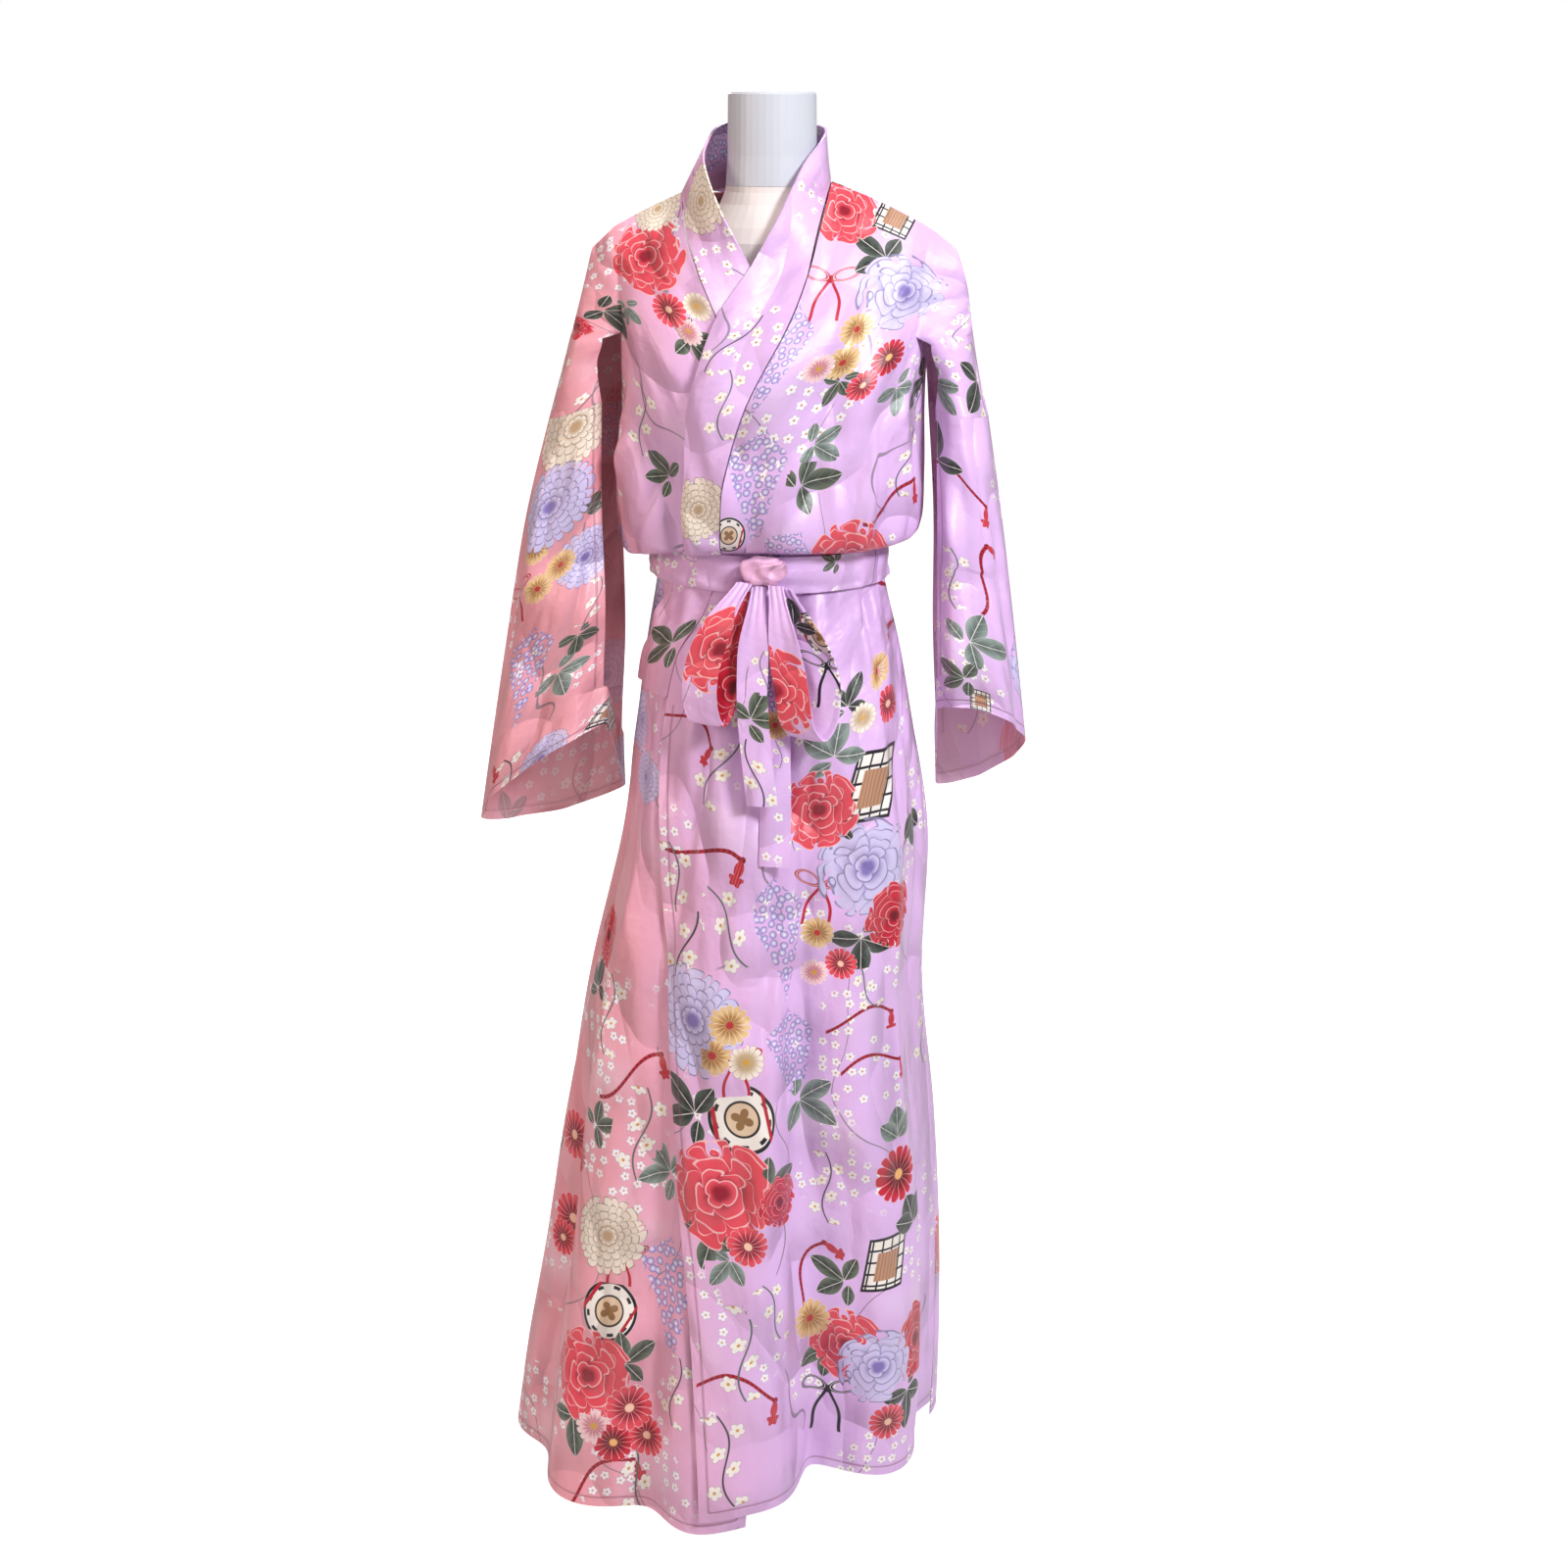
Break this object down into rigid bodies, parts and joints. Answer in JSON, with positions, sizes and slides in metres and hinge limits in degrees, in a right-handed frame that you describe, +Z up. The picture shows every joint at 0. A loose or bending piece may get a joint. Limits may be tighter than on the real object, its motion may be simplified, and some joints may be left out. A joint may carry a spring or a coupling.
{
  "type": "kimono robe on dress form",
  "caption": "Full-length satin kimono robe with a dropped sleeve and its own tied sash, on a limbless dress form with a round stand.",
  "frame": {"origin": "centre of the underside of the stand's base, on the floor", "axes": "+Z up, the robe faces -Y, the wearer's right is -X"},
  "size_m": [0.64, 0.5414, 1.595],
  "materials": {
    "satin": "satin with a printed floral pattern",
    "form_cloth": "matt jersey",
    "stand_metal": "satin paint"
  },
  "bodies": {
    "root": {"back": "satin", "front_right": "satin", "front_left": "satin", "collar_band": "satin", "sleeve_right": "satin", "sleeve_left": "satin", "sash": "satin", "sash_knot": "satin", "sash_loop_right": "satin", "sash_loop_left": "satin", "sash_tail_front": "satin", "sash_tail_back": "satin", "form_torso": "form_cloth", "form_neck_block": "stand_metal", "stand_pole": "stand_metal", "stand_base": "stand_metal"}
  },
  "joints": []
}
